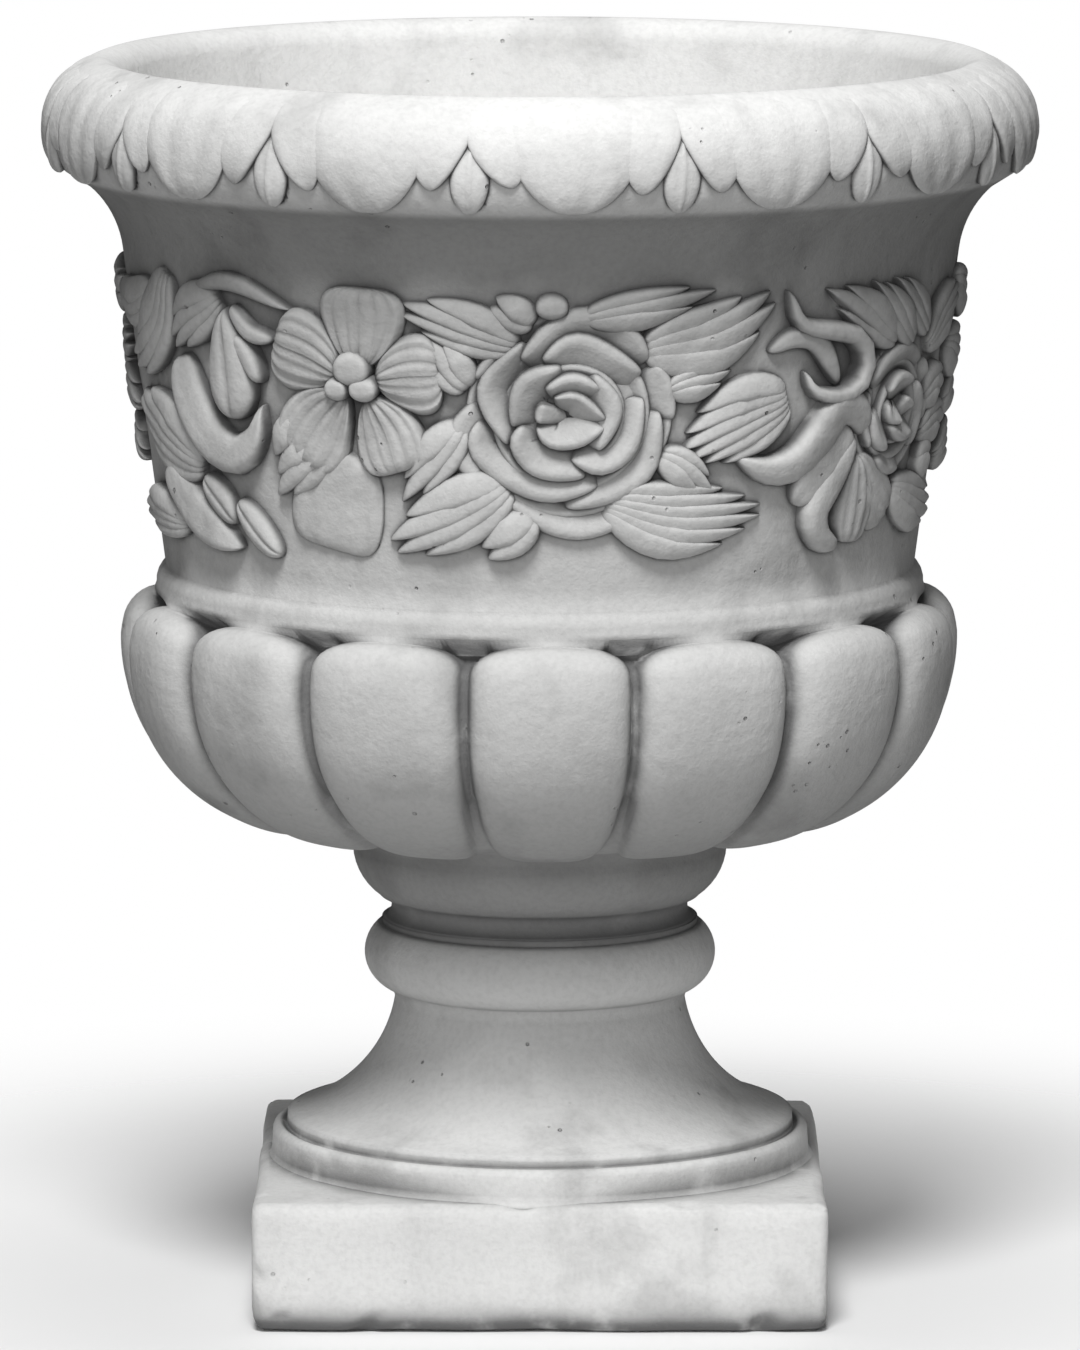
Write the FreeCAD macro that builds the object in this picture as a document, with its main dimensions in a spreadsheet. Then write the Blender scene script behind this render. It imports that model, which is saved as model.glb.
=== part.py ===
import FreeCAD, Part
import math
import operator
import os

import Sketcher
from FreeCAD import Matrix, Placement, Rotation, Vector

# A free-standing urn planter in pale cast stone: a hollow bowl with a rolled leafy
# rim, a flowered wall and a belly of swelling lobes, bedded on a trumpet foot with a
# square plinth. Millimetres, +Z up, the front faces -Y, and the origin is the middle
# of the plinth's underside.

doc = FreeCAD.newDocument("urn_planter")
sheet = doc.addObject("Spreadsheet::Sheet", "sizes")
OPERATIONS = {"+": operator.add, "-": operator.sub, "*": operator.mul, "/": operator.truediv}
FULL_TURN = 360.0
HALF_TURN = 180.0
ROLL_SWEEP = 112        # degrees that the rim's roll bends through
CAVETTO_SWEEP = -42     # degrees that the hollow under the rim bends through


class Size:
    """A number with the sheet formula behind it, so that one expression both draws a
    shape and binds it to the sheet."""

    def __init__(self, value, formula):
        self.value = value
        self.formula = formula

    def joined(self, sign, other, swapped=False):
        first = self
        second = as_size(other)
        if swapped:
            first, second = second, first
        value = OPERATIONS[sign](first.value, second.value)
        return Size(value, f"({first.formula} {sign} {second.formula})")

    def __add__(self, other):
        return self.joined("+", other)

    def __radd__(self, other):
        return self.joined("+", other, swapped=True)

    def __sub__(self, other):
        return self.joined("-", other)

    def __rsub__(self, other):
        return self.joined("-", other, swapped=True)

    def __mul__(self, other):
        return self.joined("*", other)

    def __rmul__(self, other):
        return self.joined("*", other, swapped=True)

    def __truediv__(self, other):
        return self.joined("/", other)


def as_size(number):
    return number if isinstance(number, Size) else Size(number, f"({number})")


def square_root(total):
    return Size(math.sqrt(total.value), f"sqrt({total.formula})")


def size(name, value):
    """Put one driving size in the sheet and give it back as a Size."""
    size.row += 1
    sheet.set(f"A{size.row}", name)
    sheet.set(f"B{size.row}", str(value))
    sheet.setAlias(f"B{size.row}", name)
    return Size(value, f"sizes.{name}")


size.row = 0


# ---------------------------------------------------------------- driving sizes

# Foot, from the ground up.
plinth_width = size("plinth_width", 230.0)
plinth_height = size("plinth_height", 52.0)
plinth_edge = size("plinth_edge", 4.0)              # rounding of the plinth's edges
foot_ring_margin = size("foot_ring_margin", 5.0)    # from the ring to the plinth's side
foot_ring_height = size("foot_ring_height", 11.0)
foot_groove_depth = size("foot_groove_depth", 7.0)
trumpet_edge_height = size("trumpet_edge_height", 6.0)
stem_height = size("stem_height", 47.5)
stem_radius = size("stem_radius", 58.9)
collar_step = size("collar_step", 3.5)              # small fillet over the stem
collar_ledge = size("collar_ledge", 1.0)
collar_height = size("collar_height", 27.0)
collar_top_radius = size("collar_top_radius", 65.0)
mortar_height = size("mortar_height", 2.5)
mortar_recess = size("mortar_recess", 1.0)

# Bowl, from the joint up.
neck_hollow_height = size("neck_hollow_height", 9.5)
neck_fillet = size("neck_fillet", 1.0)
neck_ring_height = size("neck_ring_height", 22.5)
neck_ring_width = size("neck_ring_width", 12.0)     # how far the ring passes the hollow
belly_depth = size("belly_depth", 74.0)             # radius of the belly's round
belly_shoulder_angle = size("belly_shoulder_angle", 12.0)
shoulder_height = size("shoulder_height", 12.0)
lobe_count = 15
lobe_turn = size("lobe_turn", 1.4)                  # how far one lobe stands off the front
lobe_swell = size("lobe_swell", 14.0)               # how far the lobes pass the ledge
groove_depth = size("groove_depth", 10.0)
groove_width = size("groove_width", 30.0)
groove_floor = size("groove_floor", 2.0)
groove_rise_angle = size("groove_rise_angle", 20.0)
groove_fall_angle = size("groove_fall_angle", 99.0)
ledge_width = size("ledge_width", 5.3)
ledge_height = size("ledge_height", 12.5)
wall_foot_radius = size("wall_foot_radius", 151.7)
wall_height = size("wall_height", 128.0)
wall_flare = size("wall_flare", 16.5)
wall_thickness = size("wall_thickness", 17.0)
cavetto_height = size("cavetto_height", 27.0)
cavetto_flare = size("cavetto_flare", 14.5)
rim_soffit_width = size("rim_soffit_width", 9.5)
rim_soffit_height = size("rim_soffit_height", 6.0)
rim_roll_height = size("rim_roll_height", 43.6)
rim_roll_inset = size("rim_roll_inset", 14.2)       # from the roll's foot in to its crest
rim_lip_width = size("rim_lip_width", 11.0)
rim_lip_depth = size("rim_lip_depth", 11.0)
belly_wall = size("belly_wall", 32.0)               # stone behind the grooves
floor_thickness = size("floor_thickness", 23.0)
floor_inset = size("floor_inset", 9.0)
cavity_round_height = size("cavity_round_height", 46.0)

# What is hidden inside.
drain_tube_radius = size("drain_tube_radius", 16.0)
drain_tube_wall = size("drain_tube_wall", 3.0)
drain_outlet_recess = size("drain_outlet_recess", 3.0)
dowel_radius = size("dowel_radius", 5.0)
dowel_length = size("dowel_length", 50.0)
dowel_count = 3
hoop_wire = size("hoop_wire", 3.0)                  # radius of the steel in the hoops
hoop_cover = size("hoop_cover", 25.0)               # stone outside the plinth's hoop
wall_bar_radius = size("wall_bar_radius", 2.5)
wall_bar_cover = size("wall_bar_cover", 3.0)
wall_bar_count = 8
stem_bar_radius = size("stem_bar_radius", 4.0)
stem_bar_cover = size("stem_bar_cover", 40.0)
stem_bar_gap = size("stem_bar_gap", 8.0)            # from the bars up to the dowels
stem_bar_count = 4

# Ornament.
rim_leaf_count = 15
rim_leaf_turn = size("rim_leaf_turn", 3.2)          # how far one leaf stands off the front
rim_leaf_thickness = size("rim_leaf_thickness", 4.0)
rim_leaf_gap_width = size("rim_leaf_gap_width", 34.0)
rim_leaf_gap_height = size("rim_leaf_gap_height", 23.0)
petal_seat = size("petal_seat", 4.5)                # thickness of stone behind a flower
leaf_rise = size("leaf_rise", 6.5)
DRAWN_WALL_HEIGHT = 128.0   # the wall's height that the ornament's places are given for

# Levels, each from the one below it.
ring_top = plinth_height + foot_ring_height
trumpet_top = ring_top + trumpet_edge_height
stem_top = trumpet_top + stem_height
collar_foot = stem_top + collar_step
joint_level = collar_foot + collar_height
neck_foot = joint_level + mortar_height
neck_ring_foot = neck_foot + neck_hollow_height
neck_top = neck_ring_foot + neck_ring_height
belly_level = neck_top + belly_depth
wall_bar_foot = belly_level + hoop_wire * 3


def sine(angle):
    return Size(math.sin(math.radians(angle.value)), f"sin({angle.formula} * 1 deg)")


def cosine(angle):
    return Size(math.cos(math.radians(angle.value)), f"cos({angle.formula} * 1 deg)")


foot_ring_radius = plinth_width / 2 - foot_ring_margin
trumpet_radius = foot_ring_radius - foot_groove_depth
neck_hollow_radius = collar_top_radius - mortar_recess
ledge_radius = wall_foot_radius + ledge_width
crown_radius = ledge_radius + lobe_swell
belly_centre_radius = crown_radius - belly_depth
groove_bottom_radius = crown_radius - groove_depth
cavity_waist = groove_bottom_radius - belly_wall
shoulder_level = belly_level + belly_depth * sine(belly_shoulder_angle)
shoulder_radius = belly_centre_radius + belly_depth * cosine(belly_shoulder_angle)
ledge_level = shoulder_level + shoulder_height
wall_foot = ledge_level + ledge_height
wall_top = wall_foot + wall_height
wall_top_radius = wall_foot_radius + wall_flare
rim_foot = wall_top + cavetto_height
rim_foot_radius = wall_top_radius + cavetto_flare
roll_foot = rim_foot + rim_soffit_height
roll_foot_radius = rim_foot_radius + rim_soffit_width
rim_top = roll_foot + rim_roll_height
rim_crest_radius = roll_foot_radius - rim_roll_inset
rim_mouth_radius = rim_crest_radius - rim_lip_width
floor_level = neck_top + floor_thickness


# ---------------------------------------------------------------- drawing helpers

def start_body(name, label=None):
    body = doc.addObject("PartDesign::Body", name)
    body.Label = label or name
    return body


def start_sketch(body, name, role, height=None, turned=None):
    """A sketch on one of the body's own planes, lifted or turned off it if asked."""
    sketch = body.newObject("Sketcher::SketchObject", name)
    plane = next(item for item in body.Origin.OriginFeatures if item.Role == role)
    sketch.AttachmentSupport = (plane, "")
    sketch.MapMode = "FlatFace"
    if turned is not None:
        sketch.AttachmentOffset = Placement(Vector(), turned)
    if height is not None:
        sketch.setExpression("AttachmentOffset.Base.z", height.formula)
    doc.recompute()
    return sketch


def bind(sketch, kind, place, target):
    """Add one constraint whose value follows the sheet."""
    index = sketch.addConstraint(Sketcher.Constraint(kind, *place, target.value))
    sketch.setExpression(f"Constraints[{index}]", target.formula)


def pin_point(sketch, edge, end, x, y):
    """Hold one end of an edge at x, y. A coordinate of 0 lies on the axis."""
    if x.value == 0:
        sketch.addConstraint(Sketcher.Constraint("PointOnObject", edge, end, -2))
    else:
        bind(sketch, "DistanceX", (-1, 1, edge, end), x)
    if y.value == 0:
        sketch.addConstraint(Sketcher.Constraint("PointOnObject", edge, end, -1))
    else:
        bind(sketch, "DistanceY", (-1, 1, edge, end), y)


def draw_outline(sketch, corners):
    """Draw a closed outline. A corner is (x, y) or (x, y, sweep): the sweep bends the
    edge that leaves it by so many degrees, outwards to the right of travel."""
    ends = []
    corners = [(as_size(c[0]), as_size(c[1]), c[2] if len(c) > 2 else 0) for c in corners]
    for here, there in zip(corners, corners[1:] + corners[:1]):
        start = Vector(here[0].value, here[1].value, 0)
        finish = Vector(there[0].value, there[1].value, 0)
        sweep = here[2]
        if not sweep:
            edge = sketch.addGeometry(Part.LineSegment(start, finish), False)
            ends.append((edge, 1, 2))
            continue
        along = finish - start
        side = Vector(along.y, -along.x, 0)
        middle = (start + finish) * 0.5 + side * (0.5 * math.tan(math.radians(sweep / 4)))
        edge = sketch.addGeometry(Part.Arc(start, middle, finish), False)
        ends.append((edge, 1, 2) if sweep > 0 else (edge, 2, 1))
        step_x = there[0] - here[0]
        step_y = there[1] - here[1]
        chord = square_root(step_x * step_x + step_y * step_y)
        bind(sketch, "Radius", (edge,), chord / (2 * math.sin(math.radians(abs(sweep) / 2))))
    for index, (edge, first, last) in enumerate(ends):
        following, next_first, _ = ends[(index + 1) % len(ends)]
        sketch.addConstraint(Sketcher.Constraint("Coincident", edge, last, following, next_first))
        pin_point(sketch, edge, first, corners[index][0], corners[index][1])


def revolve(body, name, corners, turn=FULL_TURN):
    sketch = start_sketch(body, name + "_outline", "XZ_Plane")
    draw_outline(sketch, corners)
    feature = body.newObject("PartDesign::Revolution", name)
    feature.Profile = sketch
    feature.ReferenceAxis = (sketch, ["V_Axis"])
    feature.Angle = turn
    doc.recompute()
    return feature


def repeat(body, feature, name, count):
    """Copy a feature round the body's upright axis."""
    pattern = body.newObject("PartDesign::PolarPattern", name)
    pattern.Originals = [feature]
    axis = next(item for item in body.Origin.OriginFeatures if item.Role == "Z_Axis")
    pattern.Axis = (axis, [""])
    pattern.Angle = FULL_TURN
    pattern.Occurrences = count
    body.Tip = pattern
    doc.recompute()
    return pattern


def primitive(kind, name, place=None, **sizes):
    """A Part primitive with its sizes bound to the sheet."""
    item = doc.addObject(f"Part::{kind}", name)
    for prop, target in sizes.items():
        target = as_size(target)
        setattr(item, prop, target.value)
        if "sizes." in target.formula:
            item.setExpression(prop, target.formula)
    if place is not None:
        item.Placement = place
    return item


def fused(name, items):
    item = doc.addObject("Part::MultiFuse", name)
    item.Shapes = items
    item.Refine = False
    return item


def grouped(name, items):
    item = doc.addObject("Part::Compound", name)
    item.Links = items
    return item


def cut(name, base, tool):
    item = doc.addObject("Part::Cut", name)
    item.Base = base
    item.Tool = tool
    item.Refine = False
    return item


def upright(radius, angle, height):
    """A place at a radius and angle round the urn's axis, angle 0 at the front."""
    turned = Rotation(Vector(0, 0, 1), angle)
    return Placement(turned.multVec(Vector(0, -radius.value, height.value)), turned)


# ---------------------------------------------------------------- hidden steel and tube

rim_hoop = primitive("Torus", "rim_hoop",
                     Placement(Vector(0, 0, (rim_top - rim_roll_height / 2).value), Rotation()),
                     Radius1=(roll_foot_radius + rim_mouth_radius) / 2, Radius2=hoop_wire)

belly_hoop = primitive("Torus", "belly_hoop",
                       Placement(Vector(0, 0, belly_level.value), Rotation()),
                       Radius1=(groove_bottom_radius + cavity_waist) / 2, Radius2=hoop_wire)

plinth_hoop = primitive("Torus", "plinth_hoop",
                        Placement(Vector(0, 0, plinth_height.value / 2), Rotation()),
                        Radius1=plinth_width / 2 - hoop_cover, Radius2=hoop_wire)

# Each wall bar leans with the wall, along the middle of its thickness.
wall_slope = wall_flare / wall_height
wall_lean = math.degrees(math.atan(wall_slope.value))
bar_foot_radius = (wall_foot_radius - wall_thickness / 2
                   - (wall_foot - wall_bar_foot) * wall_slope)
bar_length = (rim_foot - wall_bar_cover - wall_bar_foot) / math.cos(math.radians(wall_lean))
bars = []
for number in range(wall_bar_count):
    angle = (number + 0.5) * FULL_TURN / wall_bar_count
    place = upright(bar_foot_radius, angle, wall_bar_foot)
    place = place.multiply(Placement(Vector(), Rotation(Vector(1, 0, 0), wall_lean)))
    bars.append(primitive("Cylinder", f"wall_bar_{number + 1}", place,
                          Radius=wall_bar_radius, Height=bar_length))
wall_bars = grouped("wall_bars", bars)

# Pins and stem bars stand on one circle, midway from the tube to the stem's face.
stem_circle = (drain_tube_radius + stem_radius) / 2
dowel_foot = joint_level + mortar_height / 2 - dowel_length / 2
pins = []
for number in range(dowel_count):
    pins.append(primitive("Cylinder", f"dowel_pin_{number + 1}",
                          upright(stem_circle, number * FULL_TURN / dowel_count, dowel_foot),
                          Radius=dowel_radius, Height=dowel_length))
dowel_pins = grouped("dowel_pins", pins)

bars = []
for number in range(stem_bar_count):
    angle = (number + 0.5) * FULL_TURN / stem_bar_count
    bars.append(primitive("Cylinder", f"stem_bar_{number + 1}",
                          upright(stem_circle, angle, stem_bar_cover),
                          Radius=stem_bar_radius,
                          Height=dowel_foot - stem_bar_gap - stem_bar_cover))
stem_bars = grouped("stem_bars", bars)

tube_length = floor_level - drain_outlet_recess
tube_place = Placement(Vector(0, 0, drain_outlet_recess.value), Rotation())
tube_outside = primitive("Cylinder", "tube_outside", tube_place,
                         Radius=drain_tube_radius, Height=tube_length)
tube_inside = primitive("Cylinder", "tube_inside", tube_place,
                        Radius=drain_tube_radius - drain_tube_wall, Height=tube_length)
drain_tube = cut("drain_tube", tube_outside, tube_inside)
drain_way = primitive("Cylinder", "drain_way",
                      Radius=drain_tube_radius, Height=floor_level + wall_height)

# ---------------------------------------------------------------- foot

foot_body = start_body("foot_casting")
slab = start_sketch(foot_body, "plinth_outline", "XY_Plane")
half = plinth_width / 2
draw_outline(slab, [(-1 * half, -1 * half), (half, -1 * half), (half, half), (-1 * half, half)])
plinth = foot_body.newObject("PartDesign::Pad", "plinth")
plinth.Profile = slab
plinth.setExpression("Length", plinth_height.formula)
doc.recompute()
edges = [f"Edge{number + 1}" for number, edge in enumerate(plinth.Shape.Edges)
         if max(vertex.Z for vertex in edge.Vertexes) > plinth_height.value / 2]
rounding = foot_body.newObject("PartDesign::Fillet", "plinth_rounding")
rounding.Base = (plinth, edges)
rounding.setExpression("Radius", plinth_edge.formula)
doc.recompute()
revolve(foot_body, "stem", [
    (0, plinth_height),
    (foot_ring_radius, plinth_height, 130),
    (foot_ring_radius, ring_top),
    (trumpet_radius, ring_top, 165),
    (trumpet_radius, trumpet_top, -66),
    (stem_radius, stem_top),
    (stem_radius + collar_ledge, collar_foot, 126),
    (collar_top_radius, joint_level),
    (0, joint_level),
])
foot_tools = grouped("foot_tools", [plinth_hoop, stem_bars, dowel_pins, drain_way])

# ---------------------------------------------------------------- mortar bed

mortar_body = start_body("mortar_ring")
revolve(mortar_body, "bed", [
    (0, joint_level),
    (neck_hollow_radius, joint_level),
    (neck_hollow_radius, neck_foot),
    (0, neck_foot),
])

# ---------------------------------------------------------------- bowl

bowl_body = start_body("bowl_casting")
revolve(bowl_body, "shell", [
    (0, neck_foot),
    (neck_hollow_radius, neck_foot, -170),
    (neck_hollow_radius + neck_fillet, neck_ring_foot),
    (neck_hollow_radius + neck_fillet * 2, neck_ring_foot + neck_fillet, 60),
    (neck_hollow_radius + neck_ring_width, neck_top),
    (belly_centre_radius, neck_top, 90 + belly_shoulder_angle.value),
    (shoulder_radius, shoulder_level, 75),
    (ledge_radius, ledge_level),
    (wall_foot_radius, wall_foot),
    (wall_top_radius, wall_top, CAVETTO_SWEEP),
    (rim_foot_radius, rim_foot),
    (roll_foot_radius, roll_foot, ROLL_SWEEP),
    (rim_crest_radius, rim_top, 90),
    (rim_mouth_radius, rim_top - rim_lip_depth),
    (wall_top_radius - wall_thickness, wall_top),
    (wall_foot_radius - wall_thickness, wall_foot),
    (cavity_waist, floor_level + cavity_round_height, -60),
    (belly_centre_radius - floor_inset, floor_level),
    (0, floor_level),
])

groove_turn = Rotation(Vector(0, 0, 1), lobe_turn.value + HALF_TURN / lobe_count - 90)
slot = start_sketch(bowl_body, "groove_outline", "XY_Plane", height=belly_level,
                    turned=groove_turn)
hinge = slot.addGeometry(Part.LineSegment(Vector(belly_centre_radius.value, 0, 0),
                                          Vector(belly_centre_radius.value, 10, 0)), True)
pin_point(slot, hinge, 1, belly_centre_radius, as_size(0))
pin_point(slot, hinge, 2, belly_centre_radius, as_size(10))
draw_outline(slot, [
    (groove_bottom_radius, groove_floor / -2, -65),
    (crown_radius + groove_floor, groove_width / -2),
    (crown_radius + groove_floor, groove_width / 2, -65),
    (groove_bottom_radius, groove_floor / 2),
])
groove = bowl_body.newObject("PartDesign::Groove", "groove")
groove.Profile = slot
groove.ReferenceAxis = (slot, ["Axis0"])
groove.Type = "TwoAngles"
groove.setExpression("Angle", groove_fall_angle.formula)
groove.setExpression("Angle2", groove_rise_angle.formula)
doc.recompute()
repeat(bowl_body, groove, "lobes", lobe_count)
bowl_tools = grouped("bowl_tools", [rim_hoop, belly_hoop, wall_bars, dowel_pins, drain_way])

# ---------------------------------------------------------------- rim leaves

leaf_body = start_body("rim_leaves")
revolve(leaf_body, "leaf_band", [
    (roll_foot_radius, roll_foot),
    (roll_foot_radius + rim_leaf_thickness, roll_foot, ROLL_SWEEP + 10),
    (rim_crest_radius, rim_top, -ROLL_SWEEP),
])
gap_turn = Rotation(Vector(0, 1, 0), rim_leaf_turn.value + HALF_TURN / rim_leaf_count)
notch = start_sketch(leaf_body, "notch_outline", "XZ_Plane", turned=gap_turn)
draw_outline(notch, [
    (rim_leaf_gap_width / -2, roll_foot - rim_leaf_thickness),
    (rim_leaf_gap_width / 2, roll_foot - rim_leaf_thickness, -50),
    (0, roll_foot + rim_leaf_gap_height, -50),
])
between = leaf_body.newObject("PartDesign::Pocket", "leaf_gap")
between.Profile = notch
between.setExpression("Length", (roll_foot_radius * 1.2).formula)
doc.recompute()
repeat(leaf_body, between, "leaf_gaps", rim_leaf_count)

# ---------------------------------------------------------------- ornament on the wall

# Everything behind the wall's face, for trimming the ornament to it.
wall_core = start_body("wall_core")
revolve(wall_core, "wall_face", [
    (0, wall_foot - wall_height),
    (wall_foot_radius - wall_flare, wall_foot - wall_height),
    (wall_top_radius, wall_top, CAVETTO_SWEEP),
    (rim_foot_radius, rim_foot),
    (rim_foot_radius, rim_top + wall_height),
    (0, rim_top + wall_height),
])
seat_core = primitive("Cone", "seat_core",
                      Placement(Vector(0, 0, wall_foot.value), Rotation()),
                      Radius1=wall_foot_radius + petal_seat,
                      Radius2=wall_top_radius + petal_seat,
                      Height=wall_height)


def wall_radius(height):
    return wall_foot_radius.value + wall_slope.value * height


def on_wall(angle, drawn_height, turn=0.0, right=0.0, up=0.0, out=0.0):
    """A place on the wall at an angle round it and a height over its foot: x runs to
    the right, y up the wall and z straight out, all turned about z if asked. The
    place is then moved right, up and out along its own turned directions."""
    height = drawn_height * wall_height.value / DRAWN_WALL_HEIGHT
    radius = wall_radius(height)
    lean = math.radians(wall_lean)
    sin_a, cos_a = math.sin(math.radians(angle)), math.cos(math.radians(angle))
    out_way = Vector(sin_a * math.cos(lean), -cos_a * math.cos(lean), -math.sin(lean))
    right_way = Vector(cos_a, sin_a, 0)
    up_way = out_way.cross(right_way)
    base = Vector(radius * sin_a, -radius * cos_a, wall_foot.value + height)
    axes = Matrix(right_way.x, up_way.x, out_way.x, base.x,
                  right_way.y, up_way.y, out_way.y, base.y,
                  right_way.z, up_way.z, out_way.z, base.z,
                  0, 0, 0, 1)
    turned = Placement(axes).multiply(Placement(Vector(), Rotation(Vector(0, 0, 1), turn)))
    return turned.multiply(Placement(Vector(right, up, out), Rotation()))


def petal_arc(name, middle, ring, tube, start, sweep, out):
    """A rolled petal edge: part of a ring round a flower's middle."""
    return primitive("Torus", name, on_wall(*middle, turn=start, out=out),
                     Radius1=ring, Radius2=tube, Angle3=sweep)


def bead(name, middle, radius, turn=0.0, right=0.0, out=0.0):
    return primitive("Sphere", name, on_wall(*middle, turn=turn, right=right, out=out),
                     Radius=radius)


def seat(name, middle, radius):
    """The low boss of stone that a flower is carved from."""
    disc = primitive("Cylinder", name + "_disc", on_wall(*middle, out=-radius),
                     Radius=radius, Height=radius * 2)
    item = doc.addObject("Part::MultiCommon", name)
    item.Shapes = [disc, seat_core]
    return item


def leaf(name, stalk, tip, width, rise=leaf_rise):
    """A pointed leaf with a sharp midrib, from its stalk to its tip: the lens where
    two balls meet, sunk in the wall until only the leaf stands out."""
    middle = ((stalk[0] + tip[0]) / 2, (stalk[1] + tip[1]) / 2)
    radius = wall_radius(middle[1])
    across = math.radians(tip[0] - stalk[0]) * radius
    upward = tip[1] - stalk[1]
    length = math.hypot(across, upward)
    wall_fall = across * across / (8 * radius)
    arch = rise + wall_fall
    ridge = (length * length / 4 + arch * arch) / (arch * 2)
    sunk = ridge - rise
    offset = ((ridge * ridge - sunk * sunk) / (width / 2) - width / 2) / 2
    ball = square_root(ridge * ridge + offset * offset)
    turn = math.degrees(math.atan2(upward, across))
    balls = []
    for side, label in ((1, "upper"), (-1, "lower")):
        place = on_wall(*middle, turn=turn, up=side * offset.value, out=-sunk.value)
        balls.append(primitive("Sphere", f"{name}_{label}", place, Radius=ball))
    item = doc.addObject("Part::MultiCommon", name)
    item.Shapes = balls
    return item


def leaves(stem, table):
    return [leaf(f"{stem}_{number + 1}", *row) for number, row in enumerate(table)]


def both_sides(name, pieces, neighbours):
    """Fuse the pieces of one motif, trim them to the wall and to the motifs that lie
    over them, and set the same motif on the far side of the urn."""
    trimmed = [cut(piece.Name + "_face", piece, wall_core) for piece in pieces]
    whole = fused(name + "_whole", trimmed)
    front = whole
    for neighbour in neighbours:
        front = cut(f"{name}_without_{neighbour.Name}", front, neighbour)
    doc.recompute()
    back = doc.addObject("Part::Feature", name + "_back")
    back.Shape = front.Shape
    back.Placement = Placement(Vector(), Rotation(Vector(0, 0, 1), HALF_TURN))
    return whole, grouped(name, [front, back])


# Places on the wall are (degrees round from the front, millimetres over the wall's
# foot). A leaf is its stalk, its tip and its width.

ROSE_MIDDLE = (3.6, 75.0)
rose = [
    seat("rose_seat", ROSE_MIDDLE, 40.0),
    petal_arc("rose_outer_1", ROSE_MIDDLE, 36.0, 5.5, 35, 75, 1.5),
    petal_arc("rose_outer_2", ROSE_MIDDLE, 37.5, 5.0, 118, 62, 0.5),
    petal_arc("rose_outer_3", ROSE_MIDDLE, 36.5, 5.5, 190, 80, 1.5),
    petal_arc("rose_outer_4", ROSE_MIDDLE, 37.5, 5.0, 278, 100, 0.5),
    petal_arc("rose_middle_1", ROSE_MIDDLE, 26.0, 5.0, 60, 90, 4.0),
    petal_arc("rose_middle_2", ROSE_MIDDLE, 27.0, 4.5, 158, 80, 3.0),
    petal_arc("rose_middle_3", ROSE_MIDDLE, 26.0, 5.0, 246, 84, 4.0),
    petal_arc("rose_middle_4", ROSE_MIDDLE, 27.0, 4.5, 338, 74, 3.0),
    petal_arc("rose_inner_1", ROSE_MIDDLE, 16.0, 4.5, 20, 120, 5.5),
    petal_arc("rose_inner_2", ROSE_MIDDLE, 17.0, 4.0, 150, 100, 4.5),
    petal_arc("rose_inner_3", ROSE_MIDDLE, 16.0, 4.5, 262, 106, 5.5),
    bead("rose_heart", ROSE_MIDDLE, 8.5, out=2.5),
]
rose_whole, large_roses = both_sides("large_roses", rose, [])

SMALL_ROSE_MIDDLE = (60.0, 71.0)
rose = [
    seat("small_rose_seat", SMALL_ROSE_MIDDLE, 23.0),
    petal_arc("small_rose_outer_1", SMALL_ROSE_MIDDLE, 20.0, 4.5, 45, 120, 1.5),
    petal_arc("small_rose_outer_2", SMALL_ROSE_MIDDLE, 21.0, 4.0, 172, 110, 0.5),
    petal_arc("small_rose_outer_3", SMALL_ROSE_MIDDLE, 20.0, 4.5, 290, 100, 1.5),
    petal_arc("small_rose_inner_1", SMALL_ROSE_MIDDLE, 11.5, 4.0, 90, 150, 4.0),
    petal_arc("small_rose_inner_2", SMALL_ROSE_MIDDLE, 12.0, 4.0, 255, 150, 3.0),
    bead("small_rose_heart", SMALL_ROSE_MIDDLE, 6.0, out=2.0),
]
small_rose_whole, small_roses = both_sides("small_roses", rose, [])

BLOSSOM_MIDDLE = (-25.7, 91.0)
PETAL_COUNT = 5
petals = [seat("blossom_seat", BLOSSOM_MIDDLE, 18.0)]
for number in range(PETAL_COUNT):
    turn = 90 + number * FULL_TURN / PETAL_COUNT
    petals.append(bead(f"blossom_petal_{number + 1}", BLOSSOM_MIDDLE, 19.0,
                       turn=turn, right=20.5, out=-11.5))
petals.append(bead("blossom_heart", BLOSSOM_MIDDLE, 7.0, out=4.0))
blossom_whole, blossoms = both_sides("blossoms", petals, [])

lily = leaves("lily_petal", [
    ((28.5, 56.0), (52.0, 72.0), 15.0),
    ((38.5, 37.0), (47.5, 68.0), 17.0),
    ((45.0, 20.0), (50.5, 66.0), 14.0),
    ((50.0, 56.0), (49.5, 19.0), 11.0),
    ((50.5, 56.0), (53.5, 18.0), 11.0),
    ((51.0, 56.0), (59.0, 24.0), 12.0),
])
lily.append(petal_arc("lily_curl", (42.5, 92.0), 13.0, 5.5, 300, 190, 0.8))
lily_whole, lilies = both_sides("lilies", lily, [small_rose_whole])

curl = leaves("curled_leaf", [
    ((-46.5, 114.0), (-47.0, 70.0), 25.0),
    ((-68.0, 46.0), (-48.0, 22.0), 24.0),
    ((-76.5, 84.0), (-61.0, 112.0), 17.0),
    ((-56.5, 43.0), (-48.5, 29.0), 8.0),
])
curl += [
    petal_arc("hook_leaf", (-53.0, 82.0), 23.0, 8.0, 190, 140, 0.8),
    petal_arc("curl_end", (-42.5, 112.0), 9.0, 4.0, 190, 150, 0.8),
]
for number in range(4):
    curl.append(petal_arc(f"shell_rib_{number + 1}", (-66.0, 80.0), 21.0 + 5.0 * number, 3.5,
                          195, 115, 0.8))
curl_whole, curled_leaves = both_sides("curled_leaves", curl, [blossom_whole])

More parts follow.
